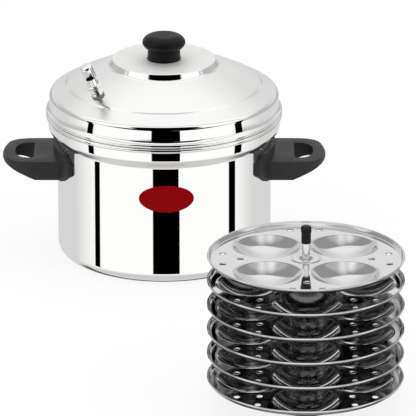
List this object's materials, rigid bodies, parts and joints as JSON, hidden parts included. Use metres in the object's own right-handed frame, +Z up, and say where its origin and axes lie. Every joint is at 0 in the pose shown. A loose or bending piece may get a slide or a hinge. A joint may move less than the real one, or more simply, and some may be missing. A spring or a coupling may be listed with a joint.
{
  "type": "idli steamer",
  "caption": "Spun steel stovetop steamer pot with moulded side handles, domed lid with knob and steam whistle, and a stand of round four-cup steaming plates on a rod.",
  "frame": {"origin": "centre of the pot's flat bottom, on the surface it stands on", "axes": "+Z up; the side handles lie along X; -Y is the front, where the plate stand waits"},
  "size_m": [0.389, 0.6263, 0.2276],
  "materials": {
    "polished_steel": "mirror polished",
    "plate_steel": "bright satin",
    "rod_steel": "polished",
    "phenolic": "semi-gloss moulded",
    "chromed_brass": "chromed",
    "cap_plastic": "satin moulded",
    "gasket_rubber": "matte",
    "zinc_fastener": "plated"
  },
  "bodies": {
    "pot": {"vessel": "polished_steel", "bracket_left": "zinc_fastener", "bracket_right": "zinc_fastener", "side_handle_left": "phenolic", "side_handle_right": "phenolic", "handle_screw_left": "zinc_fastener", "handle_screw_right": "zinc_fastener"},
    "lid": {"lid_shell": "polished_steel", "lid_knob": "phenolic", "knob_screw": "zinc_fastener", "knob_washer": "zinc_fastener", "vent_stem": "chromed_brass", "vent_gasket": "gasket_rubber", "vent_nut": "zinc_fastener"},
    "whistle": {"whistle": "chromed_brass"},
    "stand": {"stand_foot": "rod_steel", "stand_rod": "rod_steel", "rod_cap": "cap_plastic", "foot_nut": "zinc_fastener"},
    "seat_1": {"spacer_1": "rod_steel"},
    "plate_1": {"idli_plate_1": "plate_steel"},
    "seat_2": {"spacer_2": "rod_steel"},
    "plate_2": {"idli_plate_2": "plate_steel"},
    "seat_3": {"spacer_3": "rod_steel"},
    "plate_3": {"idli_plate_3": "plate_steel"},
    "seat_4": {"spacer_4": "rod_steel"},
    "plate_4": {"idli_plate_4": "plate_steel"},
    "seat_5": {"spacer_5": "rod_steel"},
    "plate_5": {"idli_plate_5": "plate_steel"},
    "seat_6": {"spacer_6": "rod_steel"},
    "plate_6": {"idli_plate_6": "plate_steel"}
  },
  "joints": [
    {"name": "lid_lift", "type": "slide", "parent": "pot", "child": "lid", "axis": [0, 0, 1], "range_m": [0, 0.15]},
    {"name": "whistle_lift", "type": "slide", "parent": "lid", "child": "whistle", "axis": [-0.3188, -0.2871, 0.9033], "range_m": [0, 0.03]},
    {"name": "stand_lift", "type": "slide", "parent": "pot", "child": "stand", "axis": [0, 0, 1], "range_m": [0, 0.2]},
    {"name": "plate_1_lift", "type": "slide", "parent": "stand", "child": "seat_1", "axis": [0, 0, 1], "range_m": [0, 0.17]},
    {"name": "plate_1_spin", "type": "hinge", "parent": "seat_1", "child": "plate_1", "pos_m": [0.135, -0.416, 0.024], "axis": [0, 0, 1], "continuous": true},
    {"name": "plate_2_lift", "type": "slide", "parent": "seat_1", "child": "seat_2", "axis": [0, 0, 1], "range_m": [0, 0.154]},
    {"name": "plate_2_spin", "type": "hinge", "parent": "seat_2", "child": "plate_2", "pos_m": [0.135, -0.416, 0.048], "axis": [0, 0, 1], "continuous": true},
    {"name": "plate_3_lift", "type": "slide", "parent": "seat_2", "child": "seat_3", "axis": [0, 0, 1], "range_m": [0, 0.13]},
    {"name": "plate_3_spin", "type": "hinge", "parent": "seat_3", "child": "plate_3", "pos_m": [0.135, -0.416, 0.072], "axis": [0, 0, 1], "continuous": true},
    {"name": "plate_4_lift", "type": "slide", "parent": "seat_3", "child": "seat_4", "axis": [0, 0, 1], "range_m": [0, 0.106]},
    {"name": "plate_4_spin", "type": "hinge", "parent": "seat_4", "child": "plate_4", "pos_m": [0.135, -0.416, 0.096], "axis": [0, 0, 1], "continuous": true},
    {"name": "plate_5_lift", "type": "slide", "parent": "seat_4", "child": "seat_5", "axis": [0, 0, 1], "range_m": [0, 0.082]},
    {"name": "plate_5_spin", "type": "hinge", "parent": "seat_5", "child": "plate_5", "pos_m": [0.135, -0.416, 0.12], "axis": [0, 0, 1], "continuous": true},
    {"name": "plate_6_lift", "type": "slide", "parent": "seat_5", "child": "seat_6", "axis": [0, 0, 1], "range_m": [0, 0.058]},
    {"name": "plate_6_spin", "type": "hinge", "parent": "seat_6", "child": "plate_6", "pos_m": [0.135, -0.416, 0.144], "axis": [0, 0, 1], "continuous": true}
  ]
}
